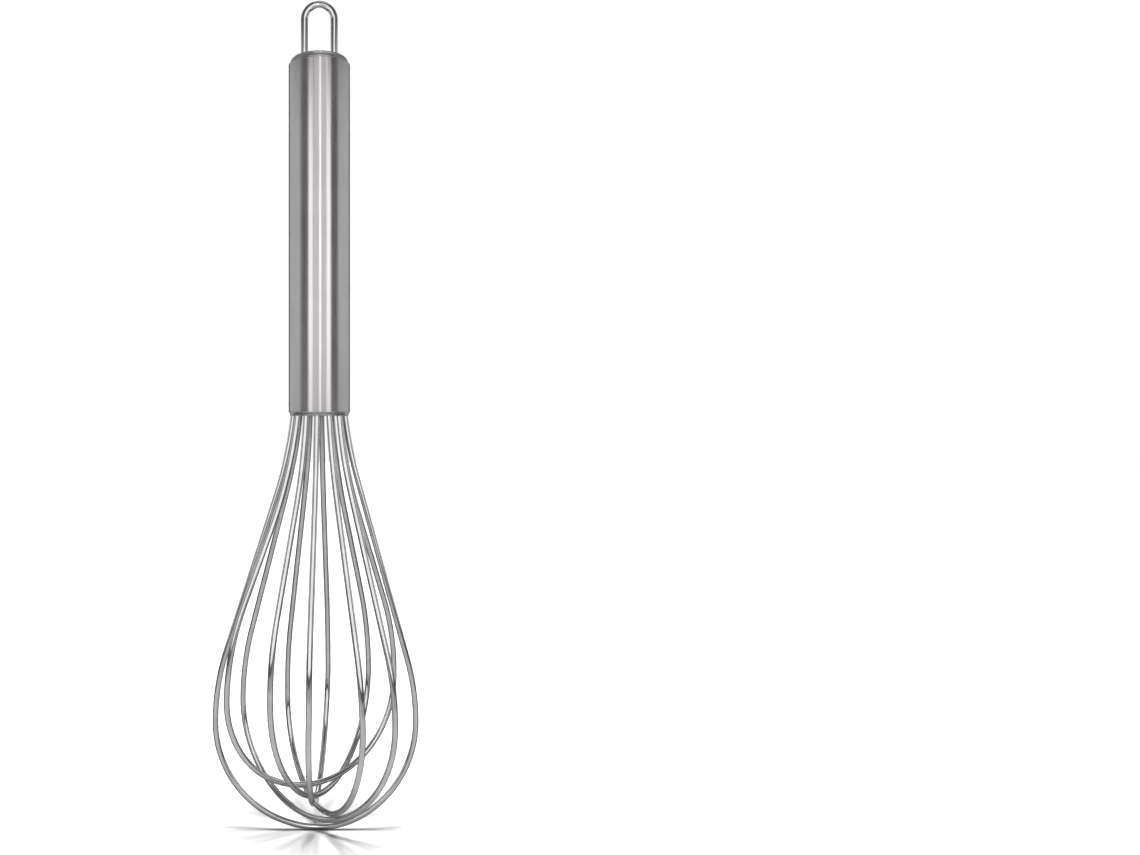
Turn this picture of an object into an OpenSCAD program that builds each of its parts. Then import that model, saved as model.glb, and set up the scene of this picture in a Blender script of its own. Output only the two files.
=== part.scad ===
// Balloon whisk: six nested wire loops potted into a tubular handle with a hanging loop.
// Millimetres, +Z up along the whisk's axis. The origin is where a hook bears, under the
// crown of the hanging loop, so the whisk hangs below it in the pose of its use on a rail.

/* [Handle] */
// Outside diameter of the handle tube
handle_d = 22.4; // [18:0.1:30]
// Length of the handle tube, from its top edge to the mouth
tube_l = 127.4; // [80:0.1:180]
// Wall of the handle tube
tube_wall = 0.6; // [0.4:0.1:1]
// Rounding of the tube's top edge
edge_r = 0.5; // [0.1:0.1:0.5]
// Height of the lip that is drawn in at the mouth
lip_h = 1.4; // [1:0.1:3]
// How far the lip is drawn in from the tube's outside
lip_inset = 0.4; // [0.3:0.1:0.8]
// Wall of the lip, thinned by the drawing
lip_wall = 0.3; // [0.2:0.1:0.6]

/* [End cap] */
// Height of the cap that shows above the tube
cap_rise = 2.5; // [2.4:0.1:8]
// Depth of the cap's skirt inside the tube
cap_skirt = 8; // [4:0.5:20]
// Thickness of the cap's sheet
cap_wall = 0.8; // [0.5:0.1:1.5]
// Radius of the cap's pressed shoulder
cap_shoulder = 2.4; // [1.6:0.1:2.4]

/* [Hanging loop] */
// Diameter of the hanging loop's wire
hook_wire_d = 2.6; // [2:0.1:3.2]
// Distance between the centres of its two legs
hook_span = 10.8; // [8:0.1:12]
// Clear height between the cap and the underside of the crown
hook_gap = 18.2; // [12:0.1:30]
// Length of each leg under the cap's sheet
hook_foot = 3; // [2:0.5:6]
// Width of the weld bead round each leg
bead_w = 1.1; // [0.5:0.1:1.5]

/* [Cage] */
// Diameter of the whisk wire
wire_d = 2.1; // [1.6:0.1:2.6]
// Height of the cage, from the mouth to the lowest wire's underside
cage_h = 150; // [130:1:200]
// Nominal width of the cage over the wires' centres, where it is widest
cage_d = 73.4; // [60:0.1:90]
// Outward slope at which the wires leave the mouth plug
plug_slope = 5.5; // [2:0.5:7]
// Radius of the outward bend below the mouth
flare_r = 150; // [100:5:160]
// Radius of the bend that turns the wire back to upright above the widest point
shoulder_r = 85; // [60:1:110]
// Least straight stretch between those two bends: a short cage has a tighter upper bend
straight_l = 10; // [5:1:20]
// Turn of the lower side bend, before the bend under the cage takes over
side_turn = 60; // [40:1:70]
// Clear height between neighbouring loops where they cross, lowest pair first
nest_gap = [1.3, 0.5, 1.5, 0.3, 0.3]; // [0.2:0.1:3]
// Turn of each loop about the whisk's axis, lowest loop first
loop_turn = [0, -40.5, -68.5, -95.5, 59.5, 34]; // [-100:0.5:100]
// Lean of each loop out of the upright, about the mouth
loop_lean = [-0.4, -1.2, 0.5, 0, -0.7, 1.3]; // [-1.5:0.1:1.5]
// Further lean of each loop below its widest points
low_lean = [-1.3, 0.4, -1.5, -1.7, 0.9, -1.4]; // [-3:0.1:3]
// Height of each loop's widest point above its own crossing
belly_h = [37.9, 38, 35.5, 38.6, 39.2, 34.9]; // [30:0.1:48]
// How much wider than nominal each loop's first side is bent
side_a = [-1.7, -0.7, 0.4, -0.6, -0.9, -0.6]; // [-2:0.1:2]
// How much wider than nominal each loop's second side is bent
side_b = [1, -0.2, -0.2, -0.5, -2, 0.5]; // [-2:0.1:2]

/* [Seating of the wires] */
// Depth of the plug's face behind the mouth
plug_recess = 2.6; // [1.6:0.1:6]
// Thickness of the drilled mouth plug
plug_t = 4; // [2:0.5:8]
// Length of wire held in the plug and the resin
wire_grip = 26; // [12:1:50]
// Resin over the wire ends
resin_cover = 3; // [1:0.5:10]
// Gap between the outermost wires and the lip
mouth_gap = 0.05; // [0.05:0.05:0.3]
// Clearance of a wire or a leg in its hole, on the radius
hole_gap = 0.06; // [0.05:0.01:0.1]

/* [Hidden] */
$fn = 96;
wire_fn = 32;
// How far a cutting shape reaches past what it cuts
cut = 1;
// The hair-thin bands that join a wire's stretches: their length, and how proud they stand
// where the wire runs on and where it is bent sharply at the plug's face
seam_l = 0.4;
seam_rise = 0.01;
bent_seam_rise = 0.04;

tube_r = handle_d / 2;
bore_r = tube_r - tube_wall;
lip_r = tube_r - lip_inset;
mouth_r = lip_r - lip_wall;
hook_wire_r = hook_wire_d / 2;
hook_r = hook_span / 2;
wire_r = wire_d / 2;

// Levels, downwards from the hook's bearing point
cap_z = -hook_gap;
tube_top_z = cap_z - cap_rise;
mouth_z = tube_top_z - tube_l;
plug_z = mouth_z + plug_recess;
wire_end_z = plug_z + wire_grip;
resin_top_z = wire_end_z + resin_cover;
floor_z = mouth_z - cage_h;
cap_ceiling_z = cap_z - cap_wall;

// Wire ends stand on a circle from which the sloping wires just clear the lip
mouth_slope = asin(sin(plug_slope) + plug_recess / flare_r);
ring_r = mouth_r - mouth_gap - wire_r / cos(mouth_slope)
         - flare_r * (cos(plug_slope) - cos(mouth_slope));

// How wide loop i is bent on one side of the axis, over the wire's centre
function reach(i, side) = cage_d / 2 + (side > 0 ? side_a[i] : side_b[i]);

// The two bends that close a side of a loop below its widest point: the upper one turns by
// side_turn, and the lower one arrives level, depth below
turn_c = cos(side_turn);
turn_s = sin(side_turn);
turn_scale = (1 - turn_c) * (1 - turn_s) - turn_c * turn_s;
function side_radius(reach, depth) = (reach * (1 - turn_s) - depth * turn_c) / turn_scale;
function base_radius(reach, depth) = (depth * (1 - turn_c) - reach * turn_s) / turn_scale;

// How far loop i's leans carry its lowest bend aside of the axis
function aside(i) = (cage_h + plug_recess) * sin(loop_lean[i]) + belly_h[i] * sin(low_lean[i]);

// Distance along loop i from its middle to where loop j crosses it, seen from below
function crossing(i, j) =
    let (turn = loop_turn[j] - loop_turn[i]) (aside(i) * cos(turn) - aside(j)) / sin(turn);

// How far loop i has risen from its middle where loop j crosses it
function climb(i, j) =
    let (t = crossing(i, j), r = base_radius(reach(i, t), belly_h[i])) r - sqrt(r * r - t * t);

// Height of loop i's middle over the lowest loop's: each loop crosses the one below it with
// its gap kept clear
function nest_rise(i) =
    i == 0 ? 0 : nest_rise(i - 1) + climb(i - 1, i) + wire_d + nest_gap[i - 1] - climb(i, i - 1);

// A solid of revolution's outline with its outer corner rounded at the foot of height h
module round_foot(r, h, corner) {
    translate([0, corner]) square([r, h - corner]);
    square([r - corner, h]);
    translate([r - corner, corner]) circle(corner);
}

module handle_tube() {
    color("silver")
    translate([0, 0, mouth_z])
    rotate_extrude()
    difference() {
        union() {
            square([lip_r, lip_h]);
            intersection() {
                translate([0, lip_h - lip_inset]) round_foot(tube_r, tube_l, lip_inset);
                translate([0, tube_l]) mirror([0, 1]) round_foot(tube_r, tube_l, edge_r);
            }
        }
        translate([0, -cut]) square([mouth_r, tube_l]);
        translate([0, lip_h]) square([bore_r, tube_l]);
    }
}

// The cap's outside, or its inside at a depth of one sheet
module cap_form(depth) {
    translate([0, 0, cap_z - depth]) mirror([0, 0, 1]) rotate_extrude()
        round_foot(bore_r - depth, cap_rise + cap_skirt, cap_shoulder - depth);
}

module end_cap() {
    color("gainsboro")
    difference() {
        cap_form(0);
        cap_form(cap_wall);
        leg_places(cap_ceiling_z - cut) cylinder(r = hook_wire_r + hole_gap, h = cap_wall + 2 * cut);
    }
}

// The two legs of the hanging loop stand at these places
module leg_places(z) {
    for (side = [-1, 1]) translate([side * hook_r, 0, z]) children();
}

module hanging_loop() {
    crown_z = hook_wire_r - hook_r;
    foot_z = cap_ceiling_z - hook_foot;
    color("lightgray") {
        translate([0, 0, crown_z]) rotate([90, 0, 0])
            rotate_extrude(angle = 180) translate([hook_r, 0]) circle(hook_wire_r, $fn = wire_fn);
        leg_places(foot_z) cylinder(r = hook_wire_r, h = crown_z - foot_z, $fn = wire_fn);
    }
}

// Each bead tapers down its leg, and stays inside the cap where the cap is narrow
module weld_beads() {
    color("gray")
    intersection() {
        leg_places(cap_ceiling_z - bead_w)
        difference() {
            cylinder(r1 = hook_wire_r, r2 = hook_wire_r + bead_w, h = bead_w);
            translate([0, 0, -cut]) cylinder(r = hook_wire_r, h = bead_w + 2 * cut);
        }
        cap_form(cap_wall);
    }
}

// The wire ends, grown by a clearance, which the plug and the resin are cut with
module wire_holes(z, gap) {
    for (turn = loop_turn, side = [0, 180])
        rotate(turn + side) translate([ring_r, 0, z]) cylinder(r = wire_r + gap, h = wire_end_z - z);
}

module mouth_plug() {
    color("dimgray")
    difference() {
        translate([0, 0, plug_z]) cylinder(r = bore_r, h = plug_t);
        wire_holes(plug_z - cut, hole_gap);
    }
}

module resin_fill() {
    color("tan")
    difference() {
        translate([0, 0, plug_z + plug_t]) cylinder(r = bore_r, h = resin_top_z - plug_z - plug_t);
        wire_holes(plug_z, 0);
    }
}

// One bend of a wire in the XZ plane, about a centre, from one angle through a turn
module bend(centre, radius, from, turn) {
    translate([centre.x, 0, centre.y]) rotate([90, 0, 0])
        rotate_extrude(angle = turn, start = from, $fn = 4 * $fn)
            translate([radius, 0]) circle(wire_r, $fn = wire_fn);
}

// A hair-thin band round the wire where two stretches meet, which makes them one solid.
// heading is the wire's tilt from upright.
module seam(p, heading, rise = seam_rise) {
    translate([p.x, 0, p.y]) rotate([0, heading, 0])
        cylinder(r = wire_r + rise, h = seam_l, center = true, $fn = wire_fn);
}

function on_arc(centre, radius, angle) = centre + radius * [cos(angle), sin(angle)];

// Half a wire loop in the XZ plane down to its widest point, reach wide. x is the distance
// from the axis, and heights count from the start of the flare. A flare arc and a shoulder
// arc are joined by their common tangent.
module upper_half(reach, widest_z) {
    flare_c = [ring_r, 0] + flare_r * [cos(plug_slope), sin(plug_slope)];
    across = flare_c.x - reach;
    down = flare_c.y - widest_z;
    room_r = (across * across + down * down - flare_r * flare_r - straight_l * straight_l)
             / (2 * (flare_r - across));
    bend_r = min(shoulder_r, room_r);
    shoulder_c = [reach - bend_r, widest_z];
    between = shoulder_c - flare_c;
    radii = flare_r + bend_r;
    straight = sqrt(between * between - radii * radii);
    slope = atan2(radii, straight) + atan2(between.x, -between.y);
    flare_end = on_arc(flare_c, flare_r, 180 + slope);

    bend(flare_c, flare_r, 180 + plug_slope, slope - plug_slope);
    translate([flare_end.x, 0, flare_end.y]) rotate([0, 180 - slope, 0])
        cylinder(r = wire_r, h = straight, $fn = wire_fn);
    bend(shoulder_c, bend_r, 0, slope);
    seam(flare_end, -slope);
    seam(on_arc(shoulder_c, bend_r, slope), -slope);
    seam([reach, widest_z], 0);
}

// The rest of the half, from the widest point at height 0 to the middle of the loop
module lower_half(reach, depth) {
    side_r = side_radius(reach, depth);
    base_r = base_radius(reach, depth);
    base_c = [0, base_r - depth];

    bend([reach - side_r, 0], side_r, -side_turn, side_turn);
    bend(base_c, base_r, -90, 90 - side_turn);
    seam(on_arc(base_c, base_r, -side_turn), side_turn);
}

// Wire loop i: both halves lean as one about the start of the flare and again about the
// widest points, and upright ends go on into the plug and the resin
module wire_loop(i) {
    widest_z = floor_z + wire_r + nest_rise(i) + belly_h[i] - plug_z;
    color("silver")
    rotate(loop_turn[i]) translate([0, 0, plug_z]) {
        rotate([loop_lean[i], 0, 0]) {
            for (side = [1, -1]) scale([side, 1, 1]) upper_half(reach(i, side), widest_z);
            translate([0, 0, widest_z]) rotate([low_lean[i], 0, 0]) {
                for (side = [1, -1]) scale([side, 1, 1]) lower_half(reach(i, side), belly_h[i]);
                seam([0, -belly_h[i]], 90);
            }
        }
        for (side = [-1, 1])
            translate([side * ring_r, 0, 0]) {
                cylinder(r = wire_r, h = wire_grip, $fn = wire_fn);
                seam([0, 0], 0, bent_seam_rise);
            }
    }
}

handle_tube();
end_cap();
hanging_loop();
weld_beads();
mouth_plug();
resin_fill();
wire_loop(0);  // wire_loop_1
wire_loop(1);  // wire_loop_2
wire_loop(2);  // wire_loop_3
wire_loop(3);  // wire_loop_4
wire_loop(4);  // wire_loop_5
wire_loop(5);  // wire_loop_6
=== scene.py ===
import math
import bpy
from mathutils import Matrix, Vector


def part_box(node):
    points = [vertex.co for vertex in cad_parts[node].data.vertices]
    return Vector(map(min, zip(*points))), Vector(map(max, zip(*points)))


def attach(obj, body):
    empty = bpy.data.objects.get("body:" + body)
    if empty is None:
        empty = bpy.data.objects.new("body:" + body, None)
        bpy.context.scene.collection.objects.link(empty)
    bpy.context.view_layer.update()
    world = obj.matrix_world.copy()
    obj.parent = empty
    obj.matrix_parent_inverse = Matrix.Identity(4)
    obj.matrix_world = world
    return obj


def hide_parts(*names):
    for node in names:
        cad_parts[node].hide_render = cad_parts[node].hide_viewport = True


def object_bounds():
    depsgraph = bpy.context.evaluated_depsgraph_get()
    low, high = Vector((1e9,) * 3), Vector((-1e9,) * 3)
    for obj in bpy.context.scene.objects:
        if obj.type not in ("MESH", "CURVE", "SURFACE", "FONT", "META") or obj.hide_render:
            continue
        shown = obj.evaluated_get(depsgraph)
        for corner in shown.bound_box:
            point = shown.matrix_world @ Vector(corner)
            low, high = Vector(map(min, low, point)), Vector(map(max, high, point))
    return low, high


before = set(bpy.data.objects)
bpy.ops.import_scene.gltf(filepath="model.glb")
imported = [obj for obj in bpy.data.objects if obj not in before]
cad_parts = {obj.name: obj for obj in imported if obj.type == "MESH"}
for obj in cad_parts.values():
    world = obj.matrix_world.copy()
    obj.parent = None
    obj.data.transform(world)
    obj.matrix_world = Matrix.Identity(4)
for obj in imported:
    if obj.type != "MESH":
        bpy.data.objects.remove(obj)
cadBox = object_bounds()
floorLevel = cadBox[0].z  # the lowest wire rests on the floor here

tubeLow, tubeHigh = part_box("handle_tube")
capLow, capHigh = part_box("end_cap")
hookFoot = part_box("hanging_loop")[0].z
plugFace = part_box("mouth_plug")[0].z
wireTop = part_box("wire_loop_1")[1].z
print("frame loaded")

cameraSetup = {
    "place": (0, -0.404, -0.1516),
    "aim": (0, 0, -0.1524),
    "lens": 35.08,
    "sensor": 36,
    "shiftX": 0.2199,  # the whisk stands left of the picture's centre and isn't turned or keystoned
    "shiftY": 0,
    "imageWidth": 1140,
    "imageHeight": 855,
}


def makeCamera(setup):
    data = bpy.data.cameras.new("camera")
    data.sensor_fit = "AUTO"
    data.sensor_width = setup["sensor"]
    data.lens = setup["lens"]
    data.shift_x = setup["shiftX"]
    data.shift_y = setup["shiftY"]
    data.clip_start = 0.01
    data.clip_end = 20
    camera = bpy.data.objects.new("camera", data)
    camera.location = setup["place"]
    look = Vector(setup["aim"]) - Vector(setup["place"])
    camera.rotation_euler = look.to_track_quat("-Z", "Y").to_euler()
    bpy.context.scene.collection.objects.link(camera)
    bpy.context.scene.camera = camera
    bpy.context.view_layer.update()
    return camera


camera = makeCamera(cameraSetup)
print("camera made")


# materials
def newMaterial(name):
    material = bpy.data.materials.new(name)
    material.use_nodes = True
    tree = material.node_tree
    return material, tree, tree.nodes["Principled BSDF"]


# gives each input a value, or a link where the value is another node's output
def feed(tree, node, inputs):
    for key, value in inputs.items():
        if isinstance(value, bpy.types.NodeSocket):
            tree.links.new(value, node.inputs[key])
        else:
            node.inputs[key].default_value = value


def addNode(tree, kind, inputs=None, **settings):
    node = tree.nodes.new(kind)
    for key, value in settings.items():
        setattr(node, key, value)
    feed(tree, node, inputs or {})
    return node


def maths(tree, operation, *values):
    return addNode(tree, "ShaderNodeMath", dict(enumerate(values)), operation=operation).outputs[0]


def objectPlace(tree):
    return addNode(tree, "ShaderNodeTexCoord").outputs["Object"]


def noiseOn(tree, vector, scale, detail):
    stretched = addNode(tree, "ShaderNodeMapping", {"Vector": vector, "Scale": scale}).outputs["Vector"]
    noise = addNode(tree, "ShaderNodeTexNoise", {"Vector": stretched, "Scale": 1, "Detail": detail})
    return noise.outputs["Fac"]


def bumpFrom(tree, height, strength, distance):
    bump = addNode(tree, "ShaderNodeBump", {"Height": height, "Strength": strength, "Distance": distance})
    return bump.outputs["Normal"]


def spread(tree, value, low, high, toLow, toHigh):
    node = addNode(tree, "ShaderNodeMapRange", {"Value": value, "From Min": low, "From Max": high,
                                                "To Min": toLow, "To Max": toHigh})
    return node.outputs["Result"]


# mixes two colours, each a value or another node's output
def blendColours(tree, share, first, second):
    colours = [(*colour, 1) if isinstance(colour, tuple) else colour for colour in (first, second)]
    inputs = {"Factor": share, 6: colours[0], 7: colours[1]}
    return addNode(tree, "ShaderNodeMix", inputs, data_type="RGBA").outputs[2]


# lengthwise brushing, soft blotches and a few fine scratches, on object coordinates
def brushedSteel(name, look):
    material, tree, shader = newMaterial(name)
    place = objectPlace(tree)
    grain = noiseOn(tree, place, (look["grain"], look["grain"], look["grainLength"]), 5)
    blotch = noiseOn(tree, place, (look["blotch"],) * 3, 2)
    worn = noiseOn(tree, place, (look["scratch"], look["scratch"], look["scratch"] * 0.06), 1)
    scratches = spread(tree, worn, 0.7, 0.74, 0, 1)
    tone = maths(tree, "ADD", grain, blotch)
    share = spread(tree, tone, 0.75, 1.3, 0, 1)
    brushed = spread(tree, tone, 0.75, 1.3, *look["roughness"])
    level = addNode(tree, "ShaderNodeSeparateXYZ", {0: place}).outputs["Z"]
    polish = spread(tree, level, look["polishTop"] - 0.0002, look["polishTop"], 0.25, 1)
    height = maths(tree, "MULTIPLY_ADD", scratches, -0.6, grain)
    feed(tree, shader, {
        "Base Color": blendColours(tree, share, look["dark"], look["light"]),
        "Metallic": look["metallic"],
        "Roughness": maths(tree, "MULTIPLY", brushed, polish),
        "Anisotropic": look["anisotropic"],
        "Anisotropic Rotation": 0.25,
        "Tangent": addNode(tree, "ShaderNodeTangent", direction_type="RADIAL", axis="Z").outputs["Tangent"],
        "Normal": bumpFrom(tree, height, look["bump"], 0.00005),
    })
    return material


# drawn and polished wire: fine die lines run along it, on the attribute that the sweep stores
def polishedWire(name, look):
    material, tree, shader = newMaterial(name)
    along = addNode(tree, "ShaderNodeAttribute", attribute_name="wireCoords").outputs["Vector"]
    lines = noiseOn(tree, along, (look["lines"], look["lines"], look["lineLength"]), 3)
    blotch = noiseOn(tree, objectPlace(tree), (look["blotch"],) * 3, 2)
    tone = maths(tree, "ADD", lines, blotch)
    feed(tree, shader, {
        "Base Color": blendColours(tree, spread(tree, tone, 0.75, 1.25, 0, 1), look["dark"], look["light"]),
        "Metallic": 1,
        "Roughness": spread(tree, tone, 0.75, 1.25, *look["roughness"]),
        "Normal": bumpFrom(tree, lines, look["bump"], 0.00002),
    })
    return material


# as-welded beads: heat-tinted, lumpy metal
def weldMetal(name, look):
    material, tree, shader = newMaterial(name)
    lumps = noiseOn(tree, objectPlace(tree), (look["lumps"],) * 3, 4)
    share = spread(tree, lumps, 0.35, 0.65, 0, 1)
    feed(tree, shader, {
        "Base Color": blendColours(tree, share, look["dark"], look["light"]),
        "Metallic": 1,
        "Roughness": spread(tree, lumps, 0.3, 0.7, *look["roughness"]),
        "Normal": bumpFrom(tree, lumps, look["bump"], 0.0001),
    })
    return material


# moulded or cast plastic with a fine grain and cloudy tone
def plasticBody(name, look):
    material, tree, shader = newMaterial(name)
    place = objectPlace(tree)
    grain = noiseOn(tree, place, (look["grain"],) * 3, 2)
    cloud = noiseOn(tree, place, (look["cloud"],) * 3, 3)
    share = spread(tree, cloud, 0.35, 0.65, 0, 1)
    feed(tree, shader, {
        "Base Color": blendColours(tree, share, look["dark"], look["light"]),
        "Roughness": spread(tree, grain, 0.3, 0.7, *look["roughness"]),
        "Normal": bumpFrom(tree, grain, look["bump"], 0.00005),
    })
    return material


finishes = {
    "handle": {
        "dark": (0.56, 0.55, 0.55), "light": (0.66, 0.65, 0.65), "metallic": 0.85,
        "roughness": (0.17, 0.24), "anisotropic": 0.78,
        "polishTop": tubeLow.z + 0.0013,  # the drawn-in lip is smoother, up to this height
        "grain": 3200, "grainLength": 40, "blotch": 60, "scratch": 500, "bump": 0.12,
    },
    "cap": {
        "dark": (0.57, 0.56, 0.56), "light": (0.67, 0.66, 0.66), "metallic": 0.85,
        "roughness": (0.18, 0.24), "anisotropic": 0.6, "polishTop": capLow.z,
        "grain": 3200, "grainLength": 60, "blotch": 90, "scratch": 600, "bump": 0.1,
    },
    "wire": {
        "dark": (0.63, 0.63, 0.63), "light": (0.75, 0.75, 0.75), "roughness": (0.05, 0.1),
        "lines": 5000, "lineLength": 60, "blotch": 150, "bump": 0.15,
    },
    "hook": {
        "dark": (0.62, 0.62, 0.62), "light": (0.72, 0.72, 0.72), "roughness": (0.02, 0.04),
        "lines": 4000, "lineLength": 60, "blotch": 150, "bump": 0.03,
    },
    "weld": {
        "dark": (0.2, 0.17, 0.16), "light": (0.5, 0.47, 0.44), "roughness": (0.35, 0.6),
        "lumps": 2500, "bump": 0.6,
    },
    "plug": {
        "dark": (0.035, 0.035, 0.037), "light": (0.055, 0.055, 0.058), "roughness": (0.5, 0.65),
        "grain": 4000, "cloud": 300, "bump": 0.3,
    },
    "resin": {
        "dark": (0.42, 0.32, 0.17), "light": (0.56, 0.46, 0.29), "roughness": (0.15, 0.3),
        "grain": 600, "cloud": 250, "bump": 0.15,
    },
}
handleSteel = brushedSteel("handleSteel", finishes["handle"])
capSteel = brushedSteel("capSteel", finishes["cap"])
whiskWire = polishedWire("whiskWire", finishes["wire"])
hookWire = polishedWire("hookWire", finishes["hook"])
weldBead = weldMetal("weldBead", finishes["weld"])
plugPlastic = plasticBody("plugPlastic", finishes["plug"])
castResin = plasticBody("castResin", finishes["resin"])
print("materials made")


# outlines and turned pieces
def arcPoints(centre, radius, start, end, steps):
    angles = [math.radians(start + (end - start) * i / steps) for i in range(steps + 1)]
    return [(centre[0] + radius * math.cos(a), centre[1] + radius * math.sin(a)) for a in angles]


sharpAngle = 35  # degrees past which an edge between faces stays sharp


# revolves a closed outline of (radius, height) points; points on the axis become poles
def turnedPiece(name, outline, segments, material):
    rings, points, faces = [], [], []
    for radius, height in outline:
        first, count = len(points), segments if radius else 1
        for i in range(count):
            angle = 2 * math.pi * i / segments
            points.append((radius * math.cos(angle), radius * math.sin(angle), height))
        rings.append([first + i % count for i in range(segments)])
    for ring, nextRing in zip(rings, rings[1:] + rings[:1]):
        for i in range(segments):
            j = (i + 1) % segments
            corners = list(dict.fromkeys((ring[i], ring[j], nextRing[j], nextRing[i])))
            if len(corners) > 2:
                faces.append(corners)
    mesh = bpy.data.meshes.new(name)
    mesh.from_pydata(points, [], faces)
    mesh.materials.append(material)
    mesh.shade_smooth()
    mesh.set_sharp_from_angle(angle=math.radians(sharpAngle))
    piece = bpy.data.objects.new(name, mesh)
    bpy.context.scene.collection.objects.link(piece)
    return piece


handleLook = {
    "lipInset": 0.0004,
    "lipHeight": 0.0014,
    "lipWall": 0.0003,
    "lipTaper": 0.0001,
    "wall": 0.0006,
    "topRound": 0.0005,
    "lipRound": 0.00012,
    "segments": 256,
}


# the tube's wall: drawn-in lip at the mouth, straight side, rounded top edge
def makeHandle(look):
    outer, low, high = tubeHigh.x, tubeLow.z, tubeHigh.z
    bore, lip = outer - look["wall"], outer - look["lipInset"]
    mouth = lip - look["lipWall"]
    shoulder, edge = low + look["lipHeight"], look["lipRound"]
    outline = arcPoints((lip - look["lipTaper"] - edge, low + edge), edge, -90, 0, 5)
    outline += arcPoints((lip, shoulder), look["lipInset"], -90, 0, 10)
    outline += arcPoints((outer - look["topRound"], high - look["topRound"]), look["topRound"], 0, 90, 10)
    outline += [(bore, high), (bore, shoulder), (mouth, shoulder)]
    outline += arcPoints((mouth + edge, low + edge), edge, 180, 270, 5)
    return turnedPiece("handleTube", outline, look["segments"], handleSteel)


handle = makeHandle(handleLook)
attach(handle, "root")
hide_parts("handle_tube")
print("handle made")

capLook = {"wall": 0.0008, "shoulder": 0.0024, "segments": 256}


# the pressed cap: flat top, rounded shoulder and a skirt inside the tube
def makeCap(look):
    outer, low, high = capHigh.x, capLow.z, capHigh.z
    shoulder, wall = look["shoulder"], look["wall"]
    inner = outer - wall
    outline = [(0, high - wall)]
    outline += arcPoints((outer - shoulder, high - shoulder), shoulder - wall, 90, 0, 10)
    outline += [(inner, low), (outer, low)]
    outline += arcPoints((outer - shoulder, high - shoulder), shoulder, 0, 90, 20)
    outline += [(0, high)]
    return turnedPiece("endCap", outline, look["segments"], capSteel)


cap = makeCap(capLook)
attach(cap, "root")
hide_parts("end_cap")
print("cap made")


def storeVector(tree, geometry, name, value):
    settings = {"data_type": "FLOAT_VECTOR", "domain": "POINT"}
    inputs = {"Geometry": geometry, "Name": name, "Value": value}
    return addNode(tree, "GeometryNodeStoreNamedAttribute", inputs, **settings).outputs["Geometry"]


def readVector(tree, name):
    node = addNode(tree, "GeometryNodeInputNamedAttribute", {"Name": name}, data_type="FLOAT_VECTOR")
    return node.outputs["Attribute"]


# a wire swept along a path, as a Geometry Nodes tree with its sizes as inputs
def buildWireTree():
    tree = bpy.data.node_groups.new("sweptWire", "GeometryNodeTree")
    for label, kind in (("Path", "NodeSocketGeometry"), ("Wire radius", "NodeSocketFloat"),
                        ("Sides", "NodeSocketInt"), ("Material", "NodeSocketMaterial")):
        tree.interface.new_socket(name=label, in_out="INPUT", socket_type=kind)
    tree.interface.new_socket(name="Wire", in_out="OUTPUT", socket_type="NodeSocketGeometry")
    given = addNode(tree, "NodeGroupInput").outputs
    path = addNode(tree, "GeometryNodeMeshToCurve", {"Mesh": given["Path"]}).outputs["Curve"]
    length = addNode(tree, "GeometryNodeSplineParameter").outputs["Length"]
    lengthwise = addNode(tree, "ShaderNodeCombineXYZ", {"Z": length}).outputs["Vector"]
    measured = storeVector(tree, path, "alongWire", lengthwise)
    ring = addNode(tree, "GeometryNodeCurvePrimitiveCircle",
                   {"Resolution": given["Sides"], "Radius": given["Wire radius"]}).outputs["Curve"]
    across = addNode(tree, "GeometryNodeInputPosition").outputs["Position"]
    marked = storeVector(tree, ring, "roundWire", across)
    swept = addNode(tree, "GeometryNodeCurveToMesh",
                    {"Curve": measured, "Profile Curve": marked, "Fill Caps": True}).outputs["Mesh"]
    coords = addNode(tree, "ShaderNodeVectorMath",
                     {0: readVector(tree, "roundWire"), 1: readVector(tree, "alongWire")}, operation="ADD")
    stored = storeVector(tree, swept, "wireCoords", coords.outputs["Vector"])
    smooth = addNode(tree, "GeometryNodeSetShadeSmooth", {"Geometry": stored}).outputs["Geometry"]
    real = addNode(tree, "GeometryNodeRealizeInstances", {"Geometry": smooth}).outputs["Geometry"]
    painted = addNode(tree, "GeometryNodeSetMaterial", {"Geometry": real, "Material": given["Material"]})
    addNode(tree, "NodeGroupOutput", {"Wire": painted.outputs["Geometry"]})
    return tree


wireTree = buildWireTree()


def setInputs(modifier, values):
    for item in modifier.node_group.interface.items_tree:
        if item.item_type == "SOCKET" and item.in_out == "INPUT" and item.name in values:
            modifier[item.identifier] = values[item.name]


# turns a path of points into a finished wire, with the modifier applied and removed
def sweptWire(name, points, look, material):
    line = bpy.data.meshes.new(name + "Path")
    line.from_pydata(points, [(i, i + 1) for i in range(len(points) - 1)], [])
    piece = bpy.data.objects.new(name, line)
    bpy.context.scene.collection.objects.link(piece)
    modifier = piece.modifiers.new("sweep", "NODES")
    modifier.node_group = wireTree
    setInputs(modifier, {"Wire radius": look["wire"] / 2, "Sides": look["sides"], "Material": material})
    depsgraph = bpy.context.evaluated_depsgraph_get()
    mesh = bpy.data.meshes.new_from_object(piece.evaluated_get(depsgraph), preserve_all_data_layers=True,
                                           depsgraph=depsgraph)
    piece.modifiers.clear()
    piece.data = mesh
    mesh.name = name
    bpy.data.meshes.remove(line)
    return piece


hookLook = {"wire": 0.0026, "span": 0.0108, "legSteps": 12, "archSteps": 48, "sides": 32}


# one bent wire: up one leg, over the crown and down the other
def makeHook(look):
    half = look["span"] / 2
    springing = look["wire"] / 2 - half
    steps = look["legSteps"]
    leg = [(half, hookFoot + (springing - hookFoot) * i / steps) for i in range(steps)]
    crown = arcPoints((0, springing), half, 0, 180, look["archSteps"])
    route = leg + crown + [(-x, z) for x, z in reversed(leg)]
    return sweptWire("hangingLoop", [(x, 0, z) for x, z in route], look, hookWire)


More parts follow.
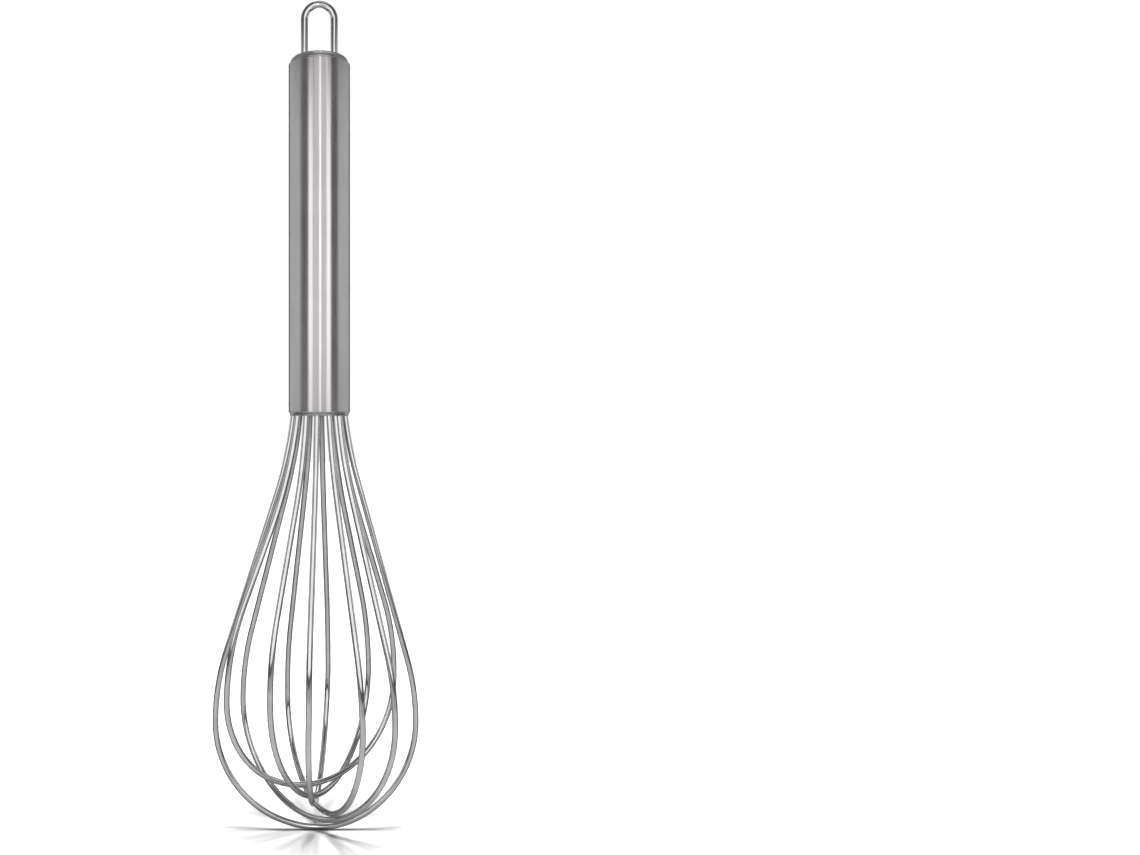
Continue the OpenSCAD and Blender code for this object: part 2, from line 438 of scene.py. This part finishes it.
hook = makeHook(hookLook)
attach(hook, "root")
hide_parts("hanging_loop")
print("hanging loop made")

# the six nested loops, with the same bends as the CAD
cageLook = {
    "wire": 0.0021,
    "sides": 28,
    "spacing": 0.0009,  # distance between the rings of a sweep
    "stemSteps": 12,  # the same, as a count, inside the handle
    "width": 0.0734,  # over the wires' centres at the widest point
    "mouthGap": 0.00005,
    "plugSlope": 5.5,
    "flareRadius": 0.15,
    "shoulderRadius": 0.085,
    "sideTurn": 60,
    "turns": (0, -40.5, -68.5, -95.5, 59.5, 34),
    "leans": (-0.4, -1.2, 0.5, 0, -0.7, 1.3),
    "lowLeans": (-1.3, 0.4, -1.5, -1.7, 0.9, -1.4),
    "bellyHeights": (0.0379, 0.038, 0.0355, 0.0386, 0.0392, 0.0349),
    "firstSides": (-0.0017, -0.0007, 0.0004, -0.0006, -0.0009, -0.0006),
    "secondSides": (0.001, -0.0002, -0.0002, -0.0005, -0.002, 0.0005),
}


# distance from the axis at which the wires leave the plug, so that they clear the lip
def wireRing(look):
    mouth = tubeHigh.x - handleLook["lipInset"] - handleLook["lipWall"] - look["mouthGap"]
    atPlug = math.radians(look["plugSlope"])
    atMouth = math.asin(math.sin(atPlug) + (plugFace - tubeLow.z) / look["flareRadius"])
    spreading = look["flareRadius"] * (math.cos(atPlug) - math.cos(atMouth))
    return mouth - look["wire"] / 2 / math.cos(atMouth) - spreading


def bendPoints(centre, radius, start, end, look):
    steps = max(2, round(abs(radius * math.radians(end - start)) / look["spacing"]))
    return arcPoints(centre, radius, start, end, steps)


# half a loop in its own plane, from the plug's face down to its middle, as (reach, height)
def halfLoop(look, reach, widest):
    flare, shoulder, turn = look["flareRadius"], look["shoulderRadius"], look["sideTurn"]
    start, depth = look["plugSlope"], look["depth"]
    flareSide, flareRise = flare * math.cos(math.radians(start)), flare * math.sin(math.radians(start))
    flareCentre = (wireRing(look) + flareSide, flareRise)
    shoulderCentre = (reach - shoulder, widest)
    across, down = shoulderCentre[0] - flareCentre[0], flareCentre[1] - shoulderCentre[1]
    straight = math.sqrt(across ** 2 + down ** 2 - (flare + shoulder) ** 2)
    slope = math.degrees(math.atan2(flare + shoulder, straight) + math.atan2(across, down))
    c, s = math.cos(math.radians(turn)), math.sin(math.radians(turn))
    scale = (1 - c) * (1 - s) - c * s
    sideRadius = (reach * (1 - s) - depth * c) / scale
    baseRadius = (depth * (1 - c) - reach * s) / scale
    points = bendPoints(flareCentre, flare, 180 + start, 180 + slope, look)
    points += bendPoints(shoulderCentre, shoulder, slope, 0, look)
    points += bendPoints((reach - sideRadius, widest), sideRadius, 0, -turn, look)[1:]
    points += bendPoints((0, widest - depth + baseRadius), baseRadius, -turn, -90, look)[1:]
    return points


# a loop's whole route: both halves lean about the plug's face, and again below the widest points
def loopRoute(look, index):
    lean, lowLean, turn = (math.radians(look[key][index]) for key in ("leans", "lowLeans", "turns"))
    look = dict(look, depth=look["bellyHeights"][index])
    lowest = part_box("wire_loop_%d" % (index + 1))[0].z + look["wire"] / 2 - plugFace
    sideways = look["depth"] * math.sin(lowLean) * math.sin(lean)
    widest = (lowest - sideways) / math.cos(lean) + look["depth"] * math.cos(lowLean)

    def leant(x, z):
        below = min(0, z - widest)
        y, z = -below * math.sin(lowLean), z - below + below * math.cos(lowLean)
        return x, y * math.cos(lean) - z * math.sin(lean), y * math.sin(lean) + z * math.cos(lean)

    first = halfLoop(look, look["width"] / 2 + look["firstSides"][index], widest)
    second = halfLoop(look, look["width"] / 2 + look["secondSides"][index], widest)
    top, ring, steps = wireTop - plugFace, wireRing(look), look["stemSteps"]
    stem = [(ring, 0, top * (1 - i / steps)) for i in range(steps)]
    route = stem + [leant(x, z) for x, z in first] + [leant(-x, z) for x, z in reversed(second[:-1])]
    route += [(-x, y, z) for x, y, z in reversed(stem)]
    c, s = math.cos(turn), math.sin(turn)
    return [(x * c - y * s, x * s + y * c, z + plugFace) for x, y, z in route]


for index in range(len(cageLook["turns"])):
    loop = sweptWire("wireLoop%d" % (index + 1), loopRoute(cageLook, index), cageLook, whiskWire)
    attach(loop, "root")
    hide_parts("wire_loop_%d" % (index + 1))
print("six wire loops made")

# CAD nodes that stay get their finish
keptNodes = {"weld_beads": weldBead, "mouth_plug": plugPlastic, "resin_fill": castResin}
for node, material in keptNodes.items():
    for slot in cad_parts[node].material_slots:
        slot.material = material
print("CAD nodes finished")

# floor, light and surroundings
studio = {
    "floorRadius": 4,
    "floorSeen": (1.35, 1.35, 1.35),  # to the camera: the paper is white and loses its faintest shadow
    "floorBounce": (0.8, 0.8, 0.8),
    "floorInMetal": (0.6, 0.6, 0.6),  # in metal, darker than the camera sees it
    "floorAside": (0.15, 0.15, 0.15),  # in metal, in the sectors left and right of the whisk
    "frontSlope": 0.3,
    "backSlope": 1.4,
    "ambient": 0.1,
    "topLight": {"from": (0.02, -0.03, 1), "angle": 23, "strength": 3.1},
}


def rayShare(tree, kinds):
    path = addNode(tree, "ShaderNodeLightPath").outputs
    total = path[kinds[0]]
    for kind in kinds[1:]:
        total = maths(tree, "MAXIMUM", total, path[kind])
    return total


def makeWorld(look):
    world = bpy.data.worlds.new("studioWorld")
    bpy.context.scene.world = world
    world.use_nodes = True
    tree = world.node_tree
    backdrop = rayShare(tree, ("Is Camera Ray", "Is Glossy Ray", "Is Transmission Ray"))
    strength = spread(tree, backdrop, 0, 1, look["ambient"], 1)
    feed(tree, tree.nodes["Background"], {"Color": (1, 1, 1, 1), "Strength": strength})


def makeFloor(look):
    bpy.ops.mesh.primitive_circle_add(vertices=96, radius=look["floorRadius"], fill_type="NGON",
                                      location=(0, 0, floorLevel))
    floor = bpy.context.object
    floor.name = "floor"
    material, tree, shader = newMaterial("floorPaper")
    place = addNode(tree, "ShaderNodeSeparateXYZ", {0: objectPlace(tree)}).outputs
    sideways = maths(tree, "ABSOLUTE", place["X"])
    pastFront = maths(tree, "MULTIPLY_ADD", sideways, look["frontSlope"], place["Y"])
    pastBack = maths(tree, "MULTIPLY_ADD", sideways, -look["backSlope"], place["Y"])
    notFront, notBack = spread(tree, pastFront, -0.02, 0.02, 0, 1), spread(tree, pastBack, 0, 0.04, 1, 0)
    aside = maths(tree, "MULTIPLY", notFront, notBack)
    mirrored = blendColours(tree, aside, look["floorInMetal"], look["floorAside"])
    seen = rayShare(tree, ("Is Camera Ray", "Is Transmission Ray"))
    paper = blendColours(tree, seen, look["floorBounce"], look["floorSeen"])
    colour = blendColours(tree, rayShare(tree, ("Is Glossy Ray",)), paper, mirrored)
    feed(tree, shader, {"Base Color": colour, "Roughness": 1, "Specular IOR Level": 0})
    floor.data.materials.append(material)


# a tent of light strips and dark flags round the whisk, which only its metal sees, and sees instead
# of the white world
tent = {
    "radius": 0.45,
    "rise": 0.8,
    "middle": -0.15,  # level of its widest ring, close to the camera's own
    # height, grey level there, and the share of the strips
    "bands": (
        (-0.3, 0.45, 0), (-0.25, 0.45, 0), (-0.24, 0.12, 0), (-0.205, 0.12, 0), (-0.185, 0.5, 1),
        (0.16, 0.5, 1), (0.19, 0.13, 0), (0.46, 0.13, 0), (0.5, 0.55, 0), (0.65, 0.55, 0),
    ),
    # azimuth from the camera, then red, green and blue
    "strips": (
        (-180, (1.6, 1.6, 1.6)), (-168, (1.6, 1.6, 1.6)), (-166, (0.14, 0.14, 0.14)),
        (-148, (0.14, 0.14, 0.14)), (-135, (0.58, 0.58, 0.58)), (-80, (0.64, 0.64, 0.63)),
        (-70, (0.3, 0.3, 0.3)), (-66, (0.14, 0.13, 0.13)), (-47, (0.14, 0.13, 0.13)),
        (-41, (0.5, 0.49, 0.5)), (-38, (1.85, 1.76, 1.85)), (-26, (1.85, 1.76, 1.85)),
        (-24, (0.95, 0.93, 0.94)), (0, (0.95, 0.93, 0.94)), (1, (2.6, 2.6, 2.6)), (5, (2.6, 2.6, 2.6)),
        (6, (0.95, 0.94, 0.94)), (26, (0.9, 0.88, 0.89)), (28, (1.9, 1.8, 1.9)), (40, (1.9, 1.8, 1.9)),
        (43, (0.5, 0.49, 0.5)), (49, (0.12, 0.11, 0.12)), (66, (0.12, 0.11, 0.12)), (70, (0.3, 0.3, 0.3)),
        (80, (0.64, 0.64, 0.63)), (135, (0.58, 0.58, 0.58)), (148, (0.14, 0.14, 0.14)),
        (166, (0.14, 0.14, 0.14)), (168, (1.6, 1.6, 1.6)), (180, (1.6, 1.6, 1.6)),
    ),
    # dark flags: ranges of x away from a centre, of y and of z, and the width of the soft edge round them
    "flags": (
        # low down at the sides, which draws the wires' edges
        {"level": 0.1, "centre": 0, "across": (-1, 1), "depth": (-0.17, 0.39), "height": (-1, -0.205),
         "blend": 0.02},
        # high up at the sides, which draws the hanging loop's crown
        {"level": 0.18, "centre": 0.06, "across": (0.2, 1), "depth": (-1, 1), "height": (0.145, 1),
         "blend": 0.02},
        # high up in front, which draws a dark line on either side of the hanging loop's legs
        {"level": 0.08, "centre": 0.005, "across": (0.21, 0.36), "depth": (-1, -0.15), "height": (0.13, 1),
         "blend": 0.015},
    ),
}


# half an egg-shaped shell of rings, from the floor up
def makeTent(look):
    segments, rings = 180, 40
    radius, rise, middle = look["radius"], look["rise"], look["middle"]
    lowest = math.asin((floorLevel - middle) / rise)
    points, faces = [], []
    for k in range(rings):
        up = lowest + (math.pi / 2 - lowest) * k / rings
        reach, height = radius * math.cos(up), middle + rise * math.sin(up)
        for i in range(segments):
            heading = 2 * math.pi * i / segments
            points.append((reach * math.cos(heading), reach * math.sin(heading), height))
    points.append((0, 0, middle + rise))
    top = len(points) - 1
    for k in range(rings):
        for i in range(segments):
            j = (i + 1) % segments
            below, above = k * segments, (k + 1) * segments
            face = (below + i, above + i, above + j, below + j)
            faces.append(face if k < rings - 1 else (below + i, top, below + j))
    mesh = bpy.data.meshes.new("lightTent")
    mesh.from_pydata(points, [], faces)
    mesh.materials.append(tentGlow(look))
    dome = bpy.data.objects.new("lightTent", mesh)
    bpy.context.scene.collection.objects.link(dome)
    dome.visible_camera = False
    dome.visible_diffuse = False
    dome.visible_shadow = False
    dome.visible_transmission = False


# a colour ramp over a range, with stops of (place, colour)
def rampOf(tree, value, low, high, stops):
    ramp = addNode(tree, "ShaderNodeValToRGB", {"Fac": spread(tree, value, low, high, 0, 1)})
    elements = ramp.color_ramp.elements
    while len(elements) < len(stops):
        elements.new(0.5)
    for element, (place, colour) in zip(elements, stops):
        element.position = (place - low) / (high - low)
        element.color = colour
    return ramp.outputs


# 1 inside a range, falling to 0 over the width of a soft edge outside it
def within(tree, value, span, blend):
    start = spread(tree, value, span[0] - blend, span[0], 0, 1)
    stop = spread(tree, value, span[1], span[1] + blend, 1, 0)
    return maths(tree, "MULTIPLY", start, stop)


# the strips round the whisk, the bands above and below them, and the flags over both
def tentGlow(look):
    material = bpy.data.materials.new("tentGlow")
    material.use_nodes = True
    tree = material.node_tree
    tree.nodes.remove(tree.nodes["Principled BSDF"])
    place = addNode(tree, "ShaderNodeSeparateXYZ", {0: objectPlace(tree)}).outputs
    azimuth = maths(tree, "ARCTAN2", place["X"], maths(tree, "MULTIPLY", place["Y"], -1))
    brightest = max(max(colour) for angle, colour in look["strips"])

    def scaled(colour, alpha):
        return (*(part / brightest for part in colour), alpha)

    around = [(math.radians(angle), scaled(colour, 1)) for angle, colour in look["strips"]]
    upward = [(height, scaled((level,) * 3, share)) for height, level, share in look["bands"]]
    strips = rampOf(tree, azimuth, -math.pi, math.pi, around)["Color"]
    bands = rampOf(tree, place["Z"], look["bands"][0][0], look["bands"][-1][0], upward)
    shown = blendColours(tree, bands["Alpha"], bands["Color"], strips)
    for flag in look["flags"]:
        outward = maths(tree, "ABSOLUTE", maths(tree, "SUBTRACT", place["X"], flag["centre"]))
        share = within(tree, outward, flag["across"], flag["blend"])
        for axis, extent in (("Y", "depth"), ("Z", "height")):
            share = maths(tree, "MULTIPLY", share, within(tree, place[axis], flag[extent], flag["blend"]))
        shown = blendColours(tree, share, shown, (flag["level"] / brightest,) * 3)
    glow = addNode(tree, "ShaderNodeEmission", {"Color": shown, "Strength": brightest})
    tree.links.new(glow.outputs[0], tree.nodes["Material Output"].inputs["Surface"])
    return material


def makeTopLight(look):
    light = bpy.data.lights.new("topLight", "SUN")
    light.angle = math.radians(look["angle"])
    light.energy = look["strength"]
    lamp = bpy.data.objects.new("topLight", light)
    lamp.rotation_euler = Vector(look["from"]).to_track_quat("Z", "Y").to_euler()
    lamp.visible_camera = False
    lamp.visible_glossy = False
    bpy.context.scene.collection.objects.link(lamp)


makeWorld(studio)
makeFloor(studio)
makeTent(tent)
makeTopLight(studio["topLight"])
bpy.context.scene.view_settings.view_transform = "Standard"
print("studio made")
